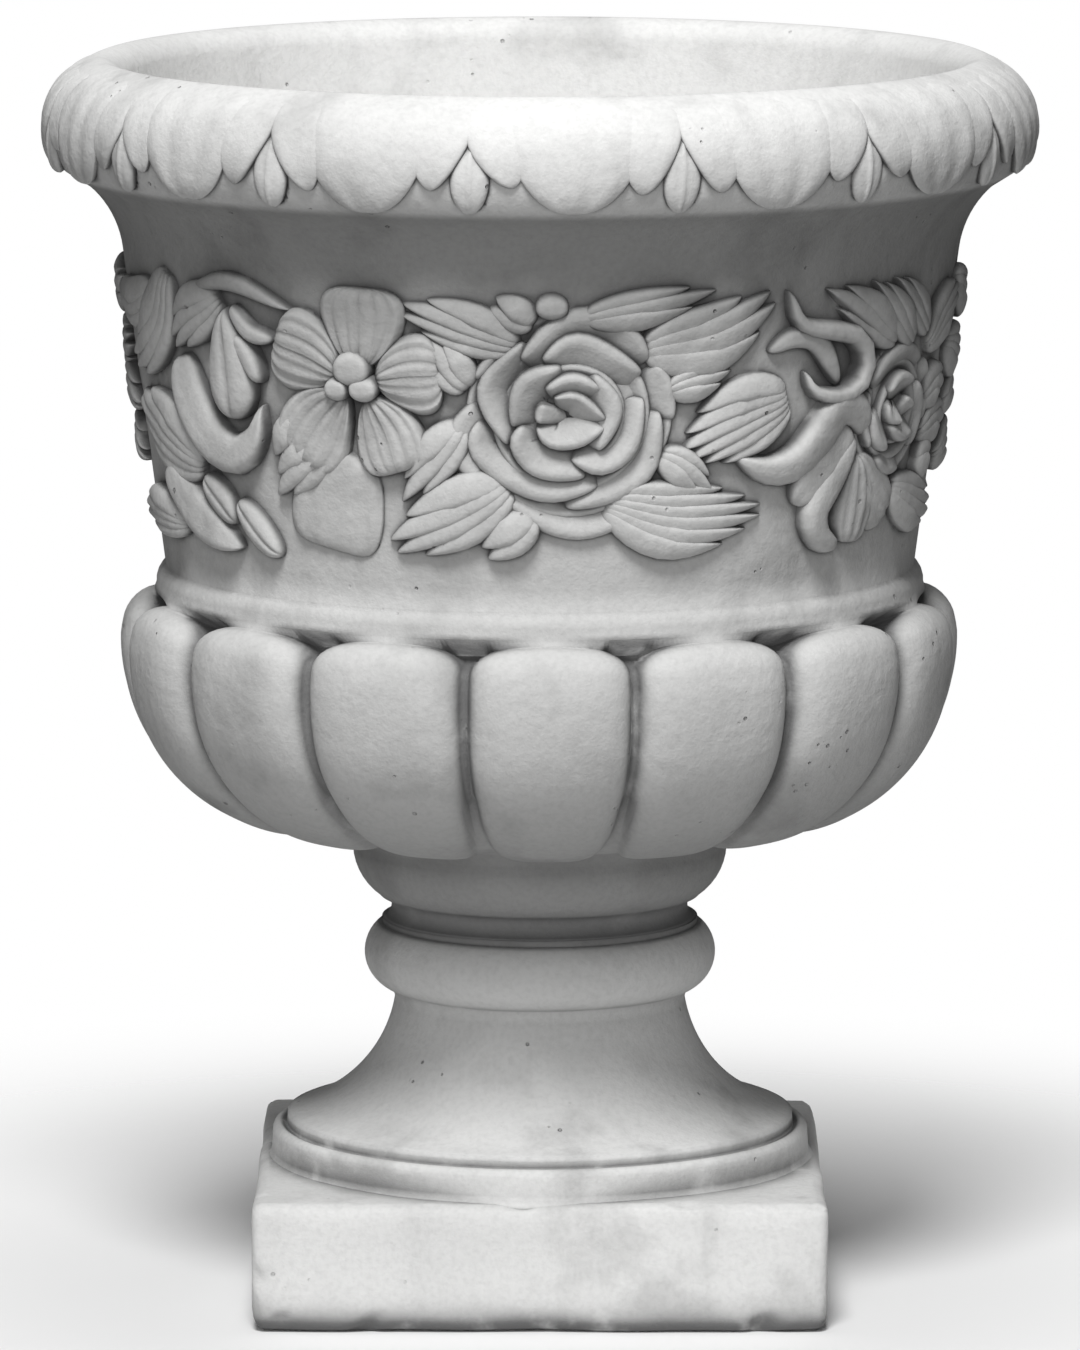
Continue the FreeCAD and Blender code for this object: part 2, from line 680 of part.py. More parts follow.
spray = leaves("leaf", [
    ((7.0, 26.0), (34.0, 33.0), 27.0),
    ((15.0, 60.0), (24.5, 46.0), 9.0),
    ((-4.0, 48.0), (-21.8, 22.0), 24.0),
    ((-2.0, 34.0), (-9.0, 21.0), 8.0),
    ((-10.0, 70.0), (-20.0, 45.0), 9.0),
    ((-2.0, 106.0), (-19.0, 117.0), 18.0),
    ((7.0, 114.0), (24.0, 122.5), 9.0),
    ((14.0, 103.0), (33.0, 119.0), 20.0),
    ((16.5, 88.0), (27.0, 77.0), 9.0),
    ((19.5, 63.0), (38.0, 88.0), 20.0),
    ((42.5, 120.0), (57.5, 97.0), 18.0),
    ((53.0, 120.0), (66.0, 99.0), 15.0),
    ((-38.0, 26.0), (-23.5, 48.0), 30.0),
    ((-39.0, 42.0), (-31.0, 60.0), 9.0),
    ((66.0, 76.0), (79.0, 79.0), 13.0),
    ((66.0, 56.0), (81.0, 62.0), 13.0),
    ((61.0, 24.0), (80.0, 34.0), 20.0),
    ((-84.0, 20.0), (-64.0, 29.0), 18.0),
])
spray_whole, leaf_sprays = both_sides(
    "leaf_sprays", spray, [rose_whole, small_rose_whole, blossom_whole, lily_whole, curl_whole])

# ---------------------------------------------------------------- finished pieces

bowl = cut("bowl", bowl_body, bowl_tools)
foot = cut("foot", foot_body, foot_tools)
mortar_bed = cut("mortar_bed", mortar_body, grouped("mortar_tools", [dowel_pins, drain_way]))

pieces = {
    "bowl": bowl, "foot": foot, "mortar_bed": mortar_bed, "drain_tube": drain_tube,
    "dowel_pins": dowel_pins, "rim_hoop": rim_hoop, "belly_hoop": belly_hoop,
    "plinth_hoop": plinth_hoop, "wall_bars": wall_bars, "stem_bars": stem_bars,
    "rim_leaves": leaf_body, "large_roses": large_roses, "small_roses": small_roses,
    "blossoms": blossoms, "lilies": lilies, "curled_leaves": curled_leaves,
    "leaf_sprays": leaf_sprays,
}
doc.recompute()
for item in doc.Objects:
    if "Invalid" in item.State or "Error" in item.State:
        raise RuntimeError(f"{item.Name} did not build: {item.State}")
for label, piece in pieces.items():
    piece.Label = label
    shape = piece.Shape
    if shape.isNull() or not shape.isValid():
        raise RuntimeError(f"{label} is not a valid shape")

os.makedirs("parts", exist_ok=True)
for label, piece in pieces.items():
    piece.Shape.exportStep(f"parts/{label}.step")
    box = piece.Shape.BoundBox
    print(f"{label}: {len(piece.Shape.Solids)} solids, {piece.Shape.Volume / 1000:.1f} cm3, "
          f"z {box.ZMin:.1f} to {box.ZMax:.1f}")
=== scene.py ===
import math

import bpy
import numpy as np
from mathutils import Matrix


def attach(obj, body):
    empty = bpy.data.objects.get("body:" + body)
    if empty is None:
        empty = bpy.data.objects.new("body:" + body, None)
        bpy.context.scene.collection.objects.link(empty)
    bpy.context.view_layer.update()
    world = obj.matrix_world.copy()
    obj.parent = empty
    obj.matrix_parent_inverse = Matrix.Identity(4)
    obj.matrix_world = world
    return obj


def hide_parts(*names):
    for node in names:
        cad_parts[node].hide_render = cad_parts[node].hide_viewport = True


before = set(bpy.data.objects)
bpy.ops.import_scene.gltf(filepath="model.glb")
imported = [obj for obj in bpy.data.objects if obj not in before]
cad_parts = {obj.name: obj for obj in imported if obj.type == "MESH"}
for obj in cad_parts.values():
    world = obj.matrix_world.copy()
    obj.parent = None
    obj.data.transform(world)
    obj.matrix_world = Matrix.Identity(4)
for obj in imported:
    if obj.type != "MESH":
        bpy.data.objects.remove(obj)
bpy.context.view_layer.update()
bpy.ops.object.select_all(action="DESELECT")


# ---- Camera and lamps.
# A long lens from a little above, as in a catalogue picture, with a soft lamp high in
# front and weaker ones in front and overhead. Only the camera sees the white backdrop.
CAMERA_DISTANCE = 4.262
CAMERA_HEIGHT = 0.888
CAMERA_PITCH = math.radians(8.54)
LENS_MM = 283.4
SENSOR_MM = 36
FARTHEST_SEEN = 50
FILL_STRENGTH = 0.12

bpy.ops.object.camera_add(location=(0, -CAMERA_DISTANCE, CAMERA_HEIGHT),
                          rotation=(math.pi / 2 - CAMERA_PITCH, 0, 0))
camera = bpy.context.object
camera.data.lens = LENS_MM
camera.data.sensor_width = SENSOR_MM
camera.data.clip_end = FARTHEST_SEEN
bpy.context.scene.camera = camera
bpy.context.scene.view_settings.view_transform = "Standard"


def add_lamp(name, place, aim, width, watts):
    """A round soft lamp, turned to face its aim."""
    bpy.ops.object.light_add(type="AREA", location=place)
    lamp = bpy.context.object
    lamp.name = name
    lamp.data.shape = "DISK"
    lamp.data.size = width
    lamp.data.energy = watts
    way = np.array(aim) - np.array(place)
    lamp.rotation_euler = (math.atan2(math.hypot(way[0], way[1]), -way[2]), 0,
                           math.atan2(way[1], way[0]) - math.pi / 2)


add_lamp("key_lamp", (-0.25, -2.3, 3.7), aim=(0, 0, 0.3), width=1.3, watts=150)
add_lamp("front_lamp", (-0.3, -3.4, 1.1), aim=(0, 0, 0.25), width=1.4, watts=34)
add_lamp("top_lamp", (0.1, 0.4, 2.6), aim=(0, 0, 0.4), width=1.0, watts=12)

world = bpy.data.worlds.new("studio")
bpy.context.scene.world = world
world.use_nodes = True
world_nodes = world.node_tree.nodes
world_nodes.clear()
fill_light = world_nodes.new("ShaderNodeBackground")
fill_light.inputs["Strength"].default_value = FILL_STRENGTH
backdrop = world_nodes.new("ShaderNodeBackground")
backdrop.inputs["Color"].default_value = (1, 1, 1, 1)
ray = world_nodes.new("ShaderNodeLightPath")
either = world_nodes.new("ShaderNodeMixShader")
sky = world_nodes.new("ShaderNodeOutputWorld")
for output, socket in ((ray.outputs["Is Camera Ray"], either.inputs[0]),
                       (fill_light.outputs[0], either.inputs[1]),
                       (backdrop.outputs[0], either.inputs[2]),
                       (either.outputs[0], sky.inputs[0])):
    world.node_tree.links.new(output, socket)


# ---- The floor under the picture.
# A matt white studio sheet, and no part of the urn. It keeps the urn's shadow and fades
# into the backdrop all round.
FLOOR_WIDTH = 3
FLOOR_TONE = 0.9
FLOOR_ROUGHNESS = 0.9

# How far from the middle the sheet has faded away, and up to where it is whole.
FADE = (0.62, 0.14)


class Wire:
    """A shader value that takes part in sums."""

    def __init__(self, finish, socket):
        self.finish = finish
        self.socket = socket

    def _math(self, operation, first, second, clamp=False):
        return self.finish.node("ShaderNodeMath", {"operation": operation, "use_clamp": clamp},
                                {0: first, 1: second})

    def __add__(self, other):
        return self._math("ADD", self, other)

    def __sub__(self, other):
        return self._math("SUBTRACT", self, other)

    def __rsub__(self, other):
        return self._math("SUBTRACT", other, self)

    def __mul__(self, other):
        return self._math("MULTIPLY", self, other)

    def clamped(self):
        """The same value, kept between 0 and 1."""
        return self._math("ADD", self, 0.0, clamp=True)

    __radd__ = __add__
    __rmul__ = __mul__


class Finish:
    """One material under construction. Its patterns lie in the urn's own coordinates."""

    def __init__(self, name, roughness):
        self.material = bpy.data.materials.new(name)
        self.material.use_nodes = True
        self.tree = self.material.node_tree
        self.shader = self.tree.nodes["Principled BSDF"]
        self.shader.inputs["Roughness"].default_value = roughness
        self.place = self.node("ShaderNodeTexCoord", {}, {}, "Object")

    def node(self, kind, settings, inputs, output=0):
        made = self.tree.nodes.new(kind)
        for setting, value in settings.items():
            setattr(made, setting, value)
        for key, value in inputs.items():
            self.feed(made.inputs[key], value)
        return Wire(self, made.outputs[output])

    def feed(self, socket, value):
        if isinstance(value, Wire):
            self.tree.links.new(value.socket, socket)
        else:
            socket.default_value = value

    def length(self, vector):
        return self.node("ShaderNodeVectorMath", {"operation": "LENGTH"}, {0: vector}, "Value")

    def noise(self, scale, detail=4, vector=None):
        return self.node("ShaderNodeTexNoise", {}, {"Vector": vector or self.place,
                                                    "Scale": scale, "Detail": detail})

    def window(self, value, nothing, full):
        """0 at the value nothing, 1 at the value full, either of which may be the larger,
        flat outside them and smooth between."""
        return self.node("ShaderNodeMapRange", {"interpolation_type": "SMOOTHSTEP"},
                         {"Value": value, "From Min": nothing, "From Max": full})

    def patches(self, scale, detail, nothing, full, vector=None):
        """Noise cut down to patches."""
        return self.window(self.noise(scale, detail, vector), nothing, full)

    def mix(self, share, first, second):
        made = self.node("ShaderNodeMix", {"data_type": "RGBA"}, {0: share}, 2)
        node = made.socket.node
        self.feed(node.inputs[6], first)
        self.feed(node.inputs[7], second)
        return made

    def colour(self, value):
        self.feed(self.shader.inputs["Base Color"], value)

    def bump(self, height, depth):
        normal = self.node("ShaderNodeBump", {}, {"Height": height, "Distance": depth,
                                                  "Strength": 1.0}, "Normal")
        self.feed(self.shader.inputs["Normal"], normal)


def grey(level):
    return (level, level, level, 1)


bpy.ops.mesh.primitive_plane_add(size=FLOOR_WIDTH)
floor = bpy.context.object
floor.name = "floor"
floor_paint = Finish("floor_paint", FLOOR_ROUGHNESS)
floor_paint.colour(grey(FLOOR_TONE))
floor_paint.feed(floor_paint.shader.inputs["Alpha"],
                 floor_paint.window(floor_paint.length(floor_paint.place), *FADE))
floor.data.materials.append(floor_paint.material)


# ---- The foot's casting.
# One casting of pale stone: lower neck ring, trumpet stem and thin ring are spun on one
# outline, over a square plinth whose edges the mould rounded and use has chipped.
# Shapes are drawn in millimetres, and materials work in metres.
MM = 0.001
FULL_TURN = 2 * math.pi

STONE_TONE = 0.76
# The tone of the painted shade and dirt in hollows and air holes.
STONE_SHADE_AND_DIRT = 0.12
STONE_ROUGHNESS = 0.82

# Where the stone's tone changes up the urn, in metres: the rim's lower edge, the painted shade
# under the rim and under the belly, and the painted light near the foot and inside the bowl.
# A pair says where a mask is 0, then 1.
# The inside is a basin that widens up to BASIN_TOP, and over WALL_START leans outwards.
INSIDE_RADIUS = (0.1375, 0.1355)
INSIDE_HEIGHT = (0.2035, 0.2043)
BASIN_TOP, BASIN_SLOPE = 0.2445, 0.6
WALL_START, WALL_LEAN = 0.295, 0.129
ON_RIM = (0.4525, 0.4565)
RIM_SHADOW_SPAN = (0.37, 0.445)
BELLY_SHADE_SPAN = (0.25, 0.185)
OVER_NECK_RING = (0.146, 0.151)
FOOT_LIGHT_SPAN = (0.152, 0.11)

# Shares of the stone's tone: what the rim keeps, the painted light inside the bowl, what the
# outside below the rim loses, and what painted shade takes under the rim and under the belly.
# Near the foot, painted light gives back most of the outside's loss.
RIM_KEEPS, INSIDE_PAINTED_LIGHT = 0.94, 1.18
SIDES_LOSE, RIM_SHADOW_LOSS, BELLY_SHADE_LOSS = 0.1, 0.36, 0.42
FOOT_PAINTED_LIGHT = 0.8

# How far the painted shade and dirt in hollows reach, and how shut in a place must be to get
# them; then the air holes.
HOLLOW_SIZE = 0.02
SHUT_IN = (0.97, 0.46)
AIR_HOLE = (0.15, 0.08)
HOLES_PER_METRE = 150
STONE_RELIEF = 0.0006

PLINTH_WIDTH = 230.0
PLINTH_HEIGHT = 52.0
EDGE_ROUNDING = 4.5
PLINTH_VOXEL = 2.0
WORN_EDGE = 9.0
CHIP_SIZE, CHIP_RARITY, CHIP_LIMIT = 16, 1.0, 1.4
CHIP_DEPTH, EDGE_WEAR, FACE_WEAR = 2.2, 0.7, 0.25


def cast_stone(name, clean, shade_and_dirt):
    """Pale cast stone: cloudy, fine grained, with air holes, smudges and faint streaks down the
    sides; painted shade and dirt in every hollow and air hole, painted shade under the rim and
    under the belly, painted light near the foot and inside the bowl, the outside a little
    darker than the rim, and no streaks and fewer smudges inside the bowl."""
    finish = Finish(name, STONE_ROUGHNESS)
    height = finish.node("ShaderNodeSeparateXYZ", {}, {0: finish.place}, "Z")
    level = finish.node("ShaderNodeVectorMath", {"operation": "MULTIPLY"},
                        {0: finish.place, 1: (1, 1, 0)})
    straight = (finish.length(level) + (BASIN_TOP - height).clamped() * BASIN_SLOPE
                - (height - WALL_START).clamped() * WALL_LEAN)
    inside = finish.window(straight, *INSIDE_RADIUS) * finish.window(height, *INSIDE_HEIGHT)
    # The rim keeps the stone's tone, and below it painted shade darkens the band under the rim.
    on_rim = finish.window(height, *ON_RIM)
    rim_shadow = finish.window(height, *RIM_SHADOW_SPAN) * (1 - on_rim)
    # Painted shade darkens the belly's underside and the neck, down to the neck ring.
    belly_shade = finish.window(height, *BELLY_SHADE_SPAN) * finish.window(height, *OVER_NECK_RING)
    # Painted light near the foot gives back most of the darkening the outside gets below the rim.
    foot_light = finish.window(height, *FOOT_LIGHT_SPAN)
    kept = RIM_KEEPS - SIDES_LOSE * (1 - on_rim) * (1 - foot_light * FOOT_PAINTED_LIGHT)
    kept = kept - RIM_SHADOW_LOSS * rim_shadow - BELLY_SHADE_LOSS * belly_shade
    # Painted light makes the inside of the bowl lighter than the stone itself.
    kept = kept + (INSIDE_PAINTED_LIGHT - kept) * inside

    clouds = finish.patches(9, 5, 0.3, 0.7)
    speckle = finish.patches(420, 3, 0.35, 0.8)
    smudge = finish.patches(22, 8, 0.52, 0.72) * (1 - inside * 0.8)
    tall = finish.node("ShaderNodeMapping", {}, {"Vector": finish.place, "Scale": (70, 70, 7)})
    streak = finish.patches(1, 5, 0.5, 0.8, tall) * finish.patches(6, 6, 0.42, 0.7) * (1 - inside)
    tone = clean * kept * (0.93 + 0.1 * clouds) * (1 - 0.09 * speckle)
    tone = tone * (1 - smudge * 0.22) * (1 - streak * 0.25)
    colour = finish.node("ShaderNodeCombineColor", {}, {0: tone, 1: tone, 2: tone * 0.99})

    # Painted shade and dirt in patches, where the surfaces round shut the light out of a hollow.
    openness = finish.node("ShaderNodeAmbientOcclusion", {"samples": 8, "only_local": False},
                           {"Distance": HOLLOW_SIZE}, "AO")
    hollow_shade_and_dirt = finish.window(openness, *SHUT_IN) * finish.patches(55, 4, 0.1, 0.5)
    cells = finish.node("ShaderNodeTexVoronoi", {"feature": "F1"},
                        {"Vector": finish.place, "Scale": HOLES_PER_METRE}, "Distance")
    hole = finish.window(cells, *AIR_HOLE) * finish.patches(38, 2, 0.6, 0.68)
    colour = finish.mix(hollow_shade_and_dirt, colour, grey(shade_and_dirt))
    # The air holes are painted part way to the same dark tone: painted shade in them, and dirt.
    finish.colour(finish.mix(hole * 0.45, colour, grey(shade_and_dirt)))
    grain = finish.noise(900)
    lumps = finish.noise(170)
    finish.bump(grain * 0.25 + lumps * 0.9 - hole * 2.2, STONE_RELIEF)
    return finish.material


def bend(start, end, sweep, count):
    """Points of an arc after start, up to end. Positive sweeps bulge to the right."""
    start, end = np.array(start), np.array(end)
    along = end - start
    half = math.radians(sweep) / 2
    side = np.array((along[1], -along[0]))
    centre = (start + end) / 2 - side / (2 * math.tan(half))
    arm = start - centre
    turns = [2 * half * step / count for step in range(1, count + 1)]
    return [(centre[0] + arm[0] * math.cos(turn) - arm[1] * math.sin(turn),
             centre[1] + arm[0] * math.sin(turn) + arm[1] * math.cos(turn)) for turn in turns]


def drawn(corners):
    """Points round an outline, in millimetres. A corner is (radius, height, parts, sweep),
    with the parts and the sweep in degrees of the stretch from it to the next corner."""
    points = []
    for here, there in zip(corners, corners[1:] + corners[:1]):
        start, end, parts = np.array(here[:2]), np.array(there[:2]), here[2]
        if len(here) > 3:
            points += bend(start, end, here[3], parts)
        else:
            points += [tuple(start + (end - start) * part / parts)
                       for part in range(1, parts + 1)]
    return np.array(points)


def read_points(piece):
    """A piece's points, in millimetres."""
    points = np.empty(len(piece.data.vertices) * 3)
    piece.data.vertices.foreach_get("co", points)
    return points.reshape(-1, 3) / MM


def write_points(piece, points):
    piece.data.vertices.foreach_set("co", (points * MM).ravel())
    piece.data.update()


def smooth_outside(piece):
    """Turn a closed piece's faces outwards and shade it smooth."""
    bpy.context.view_layer.objects.active = piece
    bpy.ops.object.mode_set(mode="EDIT")
    bpy.ops.mesh.select_all(action="SELECT")
    bpy.ops.mesh.normals_make_consistent(inside=False)
    bpy.ops.object.mode_set(mode="OBJECT")
    bpy.ops.object.shade_smooth()


def spun(name, outline, steps):
    """A closed outline spun round the urn's axis."""
    bpy.ops.mesh.primitive_circle_add(vertices=len(outline))
    piece = bpy.context.object
    piece.name = name
    write_points(piece, np.stack((outline[:, 0], 0 * outline[:, 0], outline[:, 1]), axis=1))
    screw = piece.modifiers.new("turn", "SCREW")
    screw.steps = steps
    screw.render_steps = steps
    screw.use_merge_vertices = True
    screw.merge_threshold = 1e-6
    bpy.ops.object.modifier_apply(modifier="turn")
    smooth_outside(piece)
    return piece


def unevenness(points, size, seed):
    """A slow wave of about one unit over a set of points, as of hand-worked clay: the
    sum of fourteen plain waves, each about size long."""
    rng = np.random.default_rng(seed)
    total = np.zeros(len(points))
    for _ in range(14):
        way = rng.normal(size=3)
        way *= FULL_TURN / (size * rng.uniform(0.6, 1.8)) / np.linalg.norm(way)
        total += np.sin(points @ way + rng.uniform(0, FULL_TURN))
    return total / 3


def pushed_out(points, amount):
    """Points moved away from the urn's axis."""
    radius = np.hypot(points[:, 0], points[:, 1])
    scale = 1 + amount / radius
    return points * np.stack((scale, scale, np.ones(len(points))), axis=1)


def hand_made(points, size, depth, seed):
    """Points with their surface made uneven."""
    return pushed_out(points, depth * unevenness(points, size, seed))


def climb(value, nothing, full):
    """0 at the value nothing, 1 at the value full, flat outside them and even between."""
    return np.clip((value - nothing) / (full - nothing), 0, 1)


def finished(piece, node):
    """Give a piece the urn's stone and put it in its node's place."""
    piece.data.materials.clear()
    piece.data.materials.append(urn_stone)
    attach(piece, "root")
    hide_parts(node)
    piece.select_set(False)


urn_stone = cast_stone("urn_stone", STONE_TONE, STONE_SHADE_AND_DIRT)

stem = spun("foot_stem", drawn([
    (16.0, 46.0, 6), (109.0, 46.0, 6, 140), (109.8, 52.5, 5), (109.2, 62.0, 5, 150),
    (103.6, 63.2, 3), (103.0, 69.0, 34, -66), (58.9, 116.5, 3), (59.9, 120.0, 18, 126),
    (65.0, 147.0, 6), (16.0, 147.0, 6)]), 360)
write_points(stem, hand_made(read_points(stem), size=100, depth=0.35, seed=2))
finished(stem, "foot")

bpy.ops.mesh.primitive_cube_add(size=1, location=(0, 0, PLINTH_HEIGHT * MM / 2))
plinth = bpy.context.object
plinth.name = "plinth"
plinth.scale = (PLINTH_WIDTH * MM, PLINTH_WIDTH * MM, PLINTH_HEIGHT * MM)
bpy.ops.object.transform_apply(location=True, rotation=True, scale=True)
bevel = plinth.modifiers.new("rounding", "BEVEL")
bevel.width = EDGE_ROUNDING * MM
bevel.segments = 5
bpy.ops.object.modifier_apply(modifier="rounding")
remesh = plinth.modifiers.new("fine", "REMESH")
remesh.mode = "VOXEL"
remesh.voxel_size = PLINTH_VOXEL * MM
bpy.ops.object.modifier_apply(modifier="fine")
block = read_points(plinth)
half_size = np.array((PLINTH_WIDTH, PLINTH_WIDTH, PLINTH_HEIGHT)) / 2
block_middle = np.array((0, 0, PLINTH_HEIGHT / 2))
from_faces = np.sort(np.abs(half_size - np.abs(block - block_middle)), axis=1)
near_edge = climb(from_faces[:, 1], WORN_EDGE, 0)
chips = np.clip(unevenness(block, CHIP_SIZE, seed=3) - CHIP_RARITY, 0, CHIP_LIMIT) * CHIP_DEPTH
wear = near_edge * (chips + (1 + unevenness(block, 50, seed=4)) * EDGE_WEAR)
wear += (1 + unevenness(block, 90, seed=5)) * FACE_WEAR
inward = block_middle - block * (0.35, 0.35, 1)
inward /= np.linalg.norm(inward, axis=1)[:, None]
block += inward * wear[:, None]
block[:, 2] = np.maximum(block[:, 2], 0)
write_points(plinth, block)
bpy.ops.object.shade_smooth()
finished(plinth, "foot")


# ---- Hidden steel.
# Mild steel wire and bar, bent to shape and cast in the stone: hoops in the plinth, the
# belly and the rim, bars up the stem and the wall, and pins across the joint.
STEEL_BRIGHT = (0.3, 0.29, 0.28, 1)
STEEL_RUST = (0.2, 0.11, 0.07, 1)


def paint(node, material):
    """Give a piece that keeps its solid its material."""
    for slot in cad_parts[node].material_slots:
        slot.material = material


mill_steel = Finish("mill_steel", roughness=0.45)
mill_steel.shader.inputs["Metallic"].default_value = 0.9
mill_steel.colour(mill_steel.mix(mill_steel.patches(60, 5, 0.45, 0.7), STEEL_BRIGHT, STEEL_RUST))
mill_steel.bump(mill_steel.noise(700), 0.0002)
for steel_node in ("plinth_hoop", "stem_bars", "dowel_pins", "belly_hoop", "wall_bars",
                   "rim_hoop"):
    paint(steel_node, mill_steel.material)


# ---- The drain tube.
# A length of black plastic tube, pushed through foot and neck before the bowl is set, so
# that water from the soil leaves under the plinth.
tube_plastic = Finish("tube_plastic", roughness=0.5)
tube_plastic.colour(tube_plastic.mix(tube_plastic.noise(120), grey(0.05), grey(0.07)))
tube_plastic.bump(tube_plastic.noise(1500), 0.0001)
paint("drain_tube", tube_plastic.material)


# ---- The mortar bed.
# A rough bed of darker mortar, laid on the lower neck ring and squeezed out a little by
# the bowl's weight.
MORTAR_TONE = 0.4
# The mortar's tone for painted shade and dirt in its hollows.
MORTAR_SHADE_AND_DIRT = 0.14

paint("mortar_bed", cast_stone("bedding_mortar", MORTAR_TONE, MORTAR_SHADE_AND_DIRT))


# ---- The bowl's casting.
# One hollow casting of the same stone, bedded on the foot: upper neck, fifteen lobes,
# ledge, tapered wall, hollow band and rolled rim. It is spun, then its grooves are pressed.
SLACK = 0.1
NECK_TOP = 181.5
NECK_SIDE = 76.5
LEDGE = 282.9

# The belly is an arc round its own centre. Degrees go round it, 0 at its widest.
BELLY_CENTRE = (97.0, 255.5)
BELLY_RADIUS = 74.0
BELLY_SKIN = 0.86
LOBE_COUNT = 15
LOBE_PITCH = FULL_TURN / LOBE_COUNT
LOBE_TURN = math.radians(1.4)
LOBE_SPAN = 2.04
LOBE_TOP = (11, 25)
LOBE_FOOT = (-56, -90)
NARROWED_BY, NARROWED_FROM = 0.16, (-15, -75)
GROOVE_DEPTH = 15.0
SHALLOWER_BY, SHALLOWER_FROM = 0.42, (-40, -90)
FLATTER_AT = (-95, -60, -43, -25, -8, 8)
FLATTER_BY = (6, 6, 5, 3.7, 2.4, 0.2)

# The roll is an arc as well. Lengths over it start at its widest point.
ROLL_CENTRE = (170.4, 473.4)
ROLL_RADIUS = 27.6
RIM_REACH = 198.0
RIM_TURN = math.radians(4.2)
HOLLOW_RUN = (-15, 21)
HOLLOW_HALF = 16.0
HOLLOW_DEPTH = 3.4

bowl = spun("bowl_shell", drawn([
    (16.0, 149.5, 6), (64.0, 149.5, 8, -170), (65.0, 159.0, 1), (66.0, 160.0, 8, 60),
    (76.0, 181.5, 5), (97.0, 181.5, 46, 102), (169.4, 270.9, 8, 75), (157.0, 282.9, 2),
    (155.5, 287.0, 4, 60), (151.9, 295.4, 14), (168.2, 423.4, 10, -42), (182.7, 450.4, 4),
    (192.2, 456.4, 28, 112), (178.0, 500.0, 7, 90), (167.0, 489.0, 4), (151.2, 423.4, 6),
    (134.7, 295.4, 3), (129.0, 250.5, 7, -60), (88.0, 204.5, 3), (16.0, 204.5, 3)]), 540)
wall = read_points(bowl)
radius = np.hypot(wall[:, 0], wall[:, 1])
height = wall[:, 2]
around = np.arctan2(wall[:, 0], -wall[:, 1])

# Each lobe is a pillow, 1 on its crown and 0 in the grooves and at its ends. The powers
# say how square it is there.
arm = np.stack((radius, height), axis=1) - BELLY_CENTRE
reach = np.linalg.norm(arm, axis=1)
arm /= reach[:, None]
on_belly = (height < LEDGE + SLACK) & (height > NECK_TOP - SLACK) & (radius > NECK_SIDE)
on_belly &= reach > BELLY_RADIUS * BELLY_SKIN
across = np.abs(((around - LOBE_TURN) / LOBE_PITCH + 0.5) % 1 - 0.5) * LOBE_SPAN
degrees = np.degrees(np.arctan2(arm[:, 1], arm[:, 0]))
narrowed = across * (1 + NARROWED_BY * climb(degrees, *NARROWED_FROM) ** 1.5)
top_corner = climb(degrees, *LOBE_TOP) ** 3 * across ** 1.5
lower_end = climb(degrees, *LOBE_FOOT) ** 2.5
pillow = np.clip(1 - narrowed ** 3.6 - top_corner - lower_end, 0, 1) ** 0.46
flatter = np.interp(degrees, FLATTER_AT, FLATTER_BY)
depth = GROOVE_DEPTH * (1 - SHALLOWER_BY * climb(degrees, *SHALLOWER_FROM))
inward = np.where(on_belly, flatter + (depth - flatter) * (1 - pillow), 0)
wall = pushed_out(wall, -inward * arm[:, 0])
wall[:, 2] -= inward * arm[:, 1]

# A shallow hollow on the roll parts each two leaves.
roll = np.stack((radius, height), axis=1) - ROLL_CENTRE
on_roll = (roll[:, 0] > 0) & (np.linalg.norm(roll, axis=1) > ROLL_RADIUS - 1)
share = climb(ROLL_RADIUS * np.arctan2(roll[:, 1], roll[:, 0]), *HOLLOW_RUN)
half_width = HOLLOW_HALF * share ** 0.4 * (1 - share) ** 0.7
beside = ((around - RIM_TURN) / LOBE_PITCH % 1 - 0.5) * LOBE_PITCH * RIM_REACH
press = np.clip(1 - (beside / np.maximum(half_width, SLACK)) ** 2, 0, 1) ** 0.6
wall = pushed_out(wall, np.where(on_roll, -HOLLOW_DEPTH * press, 0))
write_points(bowl, hand_made(wall, size=120, depth=0.4, seed=1))
finished(bowl, "bowl")


# ---- Rim leaves.
# Broad leaves laid over the rolled rim and cast with it: a wide fluted tongue with a
# shorter lobe at either side, and a small pointed leaf in the hollow between.
TOP_SHARE = 0.75
UNDERSIDE = -2.5
SHELL_REACH = 3.0
SHELL_DIVE = 1.3
MIDRIB_WIDTH = 0.13

TONGUE = {"lift": (-2.2, -0.4, 0.7, 2.2), "rise": 2.9, "ends": (0.12, 0.44), "hollow": 0.8,
          "ribs": 3, "rib_depth": 0.6, "segments": 56, "rings": 28}
SIDE_LOBE = {"lift": (-2.0, -0.3, 0.6, 1.0), "rise": 2.3, "ends": (0.4, 0.62), "tilt": 0.7,
             "hollow": 0.7, "segments": 40, "rings": 22}
SMALL_LEAF = {"lift": (-4.6, -2.8, -0.8, 1.4), "rise": 2.8, "ends": (0.7, 0.5),
              "midrib": -0.8, "segments": 32, "rings": 22}


def on_rim(across, up, out):
    """A place on the rolled rim: across and up are lengths over the roll, from its
    widest point at the front, and out is the height above it."""
    turn = up / ROLL_RADIUS
    radius = ROLL_CENTRE[0] + (ROLL_RADIUS + out) * np.cos(turn)
    angle = across / RIM_REACH + RIM_TURN
    return np.stack((radius * np.sin(angle), -radius * np.cos(angle),
                     ROLL_CENTRE[1] + (ROLL_RADIUS + out) * np.sin(turn)), axis=1)


